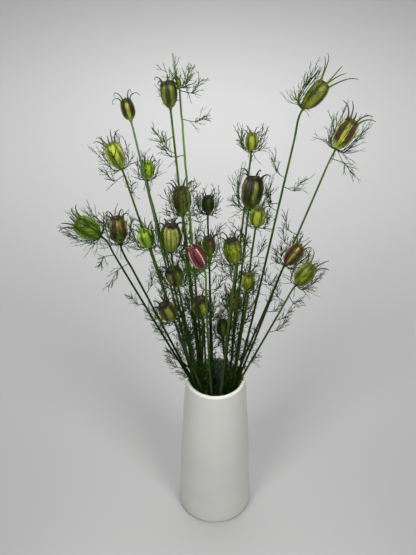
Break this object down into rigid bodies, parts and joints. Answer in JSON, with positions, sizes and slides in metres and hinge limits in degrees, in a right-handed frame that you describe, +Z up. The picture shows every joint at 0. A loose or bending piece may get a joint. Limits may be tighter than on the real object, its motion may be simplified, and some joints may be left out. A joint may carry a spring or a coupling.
{
  "type": "vase of nigella seed pods",
  "caption": "Tapered white vase filled with cut nigella stems that fan out and end in ribbed, horned seed pods amid thread-like leaves.",
  "frame": {"origin": "centre of the vase's flat base, where it stands", "axes": "+Z up along the vase's axis, -Y towards the front, from where the arrangement is seen, +X to its right"},
  "size_m": [0.3148, 0.1976, 0.629],
  "materials": {
    "vase_ceramic": "matte",
    "stem_green": "matte",
    "pod_green": "satin",
    "pod_striped": "satin",
    "pod_dark": "satin",
    "pod_olive": "satin",
    "pod_burgundy": "satin"
  },
  "bodies": {
    "root": {"vase": "vase_ceramic", "leafy_stem_01": "stem_green", "leafy_stem_02": "stem_green", "leafy_stem_03": "stem_green", "leafy_stem_04": "stem_green", "leafy_stem_05": "stem_green", "leafy_stem_06": "stem_green", "leafy_stem_07": "stem_green", "leafy_stem_08": "stem_green", "leafy_stem_09": "stem_green", "leafy_stem_10": "stem_green", "leafy_stem_11": "stem_green", "leafy_stem_12": "stem_green", "leafy_stem_13": "stem_green", "leafy_stem_14": "stem_green", "leafy_stem_15": "stem_green", "leafy_stem_16": "stem_green", "leafy_stem_17": "stem_green", "leafy_stem_18": "stem_green", "leafy_stem_19": "stem_green", "leafy_stem_20": "stem_green", "leafy_stem_21": "stem_green", "leafy_stem_22": "stem_green", "leafy_stem_23": "stem_green", "leafy_stem_24": "stem_green", "leafy_stem_25": "stem_green", "leafy_stem_26": "stem_green", "leafy_stem_27": "stem_green", "leafy_stem_28": "stem_green", "seed_pod_01": "pod_green", "seed_pod_02": "pod_striped", "seed_pod_03": "pod_green", "seed_pod_04": "pod_striped", "seed_pod_05": "pod_green", "seed_pod_06": "pod_dark", "seed_pod_07": "pod_green", "seed_pod_08": "pod_dark", "seed_pod_09": "pod_striped", "seed_pod_10": "pod_dark", "seed_pod_11": "pod_olive", "seed_pod_12": "pod_burgundy", "seed_pod_13": "pod_striped", "seed_pod_14": "pod_olive", "seed_pod_15": "pod_striped", "seed_pod_16": "pod_olive", "seed_pod_17": "pod_dark", "seed_pod_18": "pod_green", "seed_pod_19": "pod_green", "seed_pod_20": "pod_green", "seed_pod_21": "pod_dark", "seed_pod_22": "pod_olive", "seed_pod_23": "pod_green", "seed_pod_24": "pod_striped", "seed_pod_25": "pod_burgundy", "seed_pod_26": "pod_olive", "seed_pod_27": "pod_olive", "seed_pod_28": "pod_olive"}
  },
  "joints": []
}
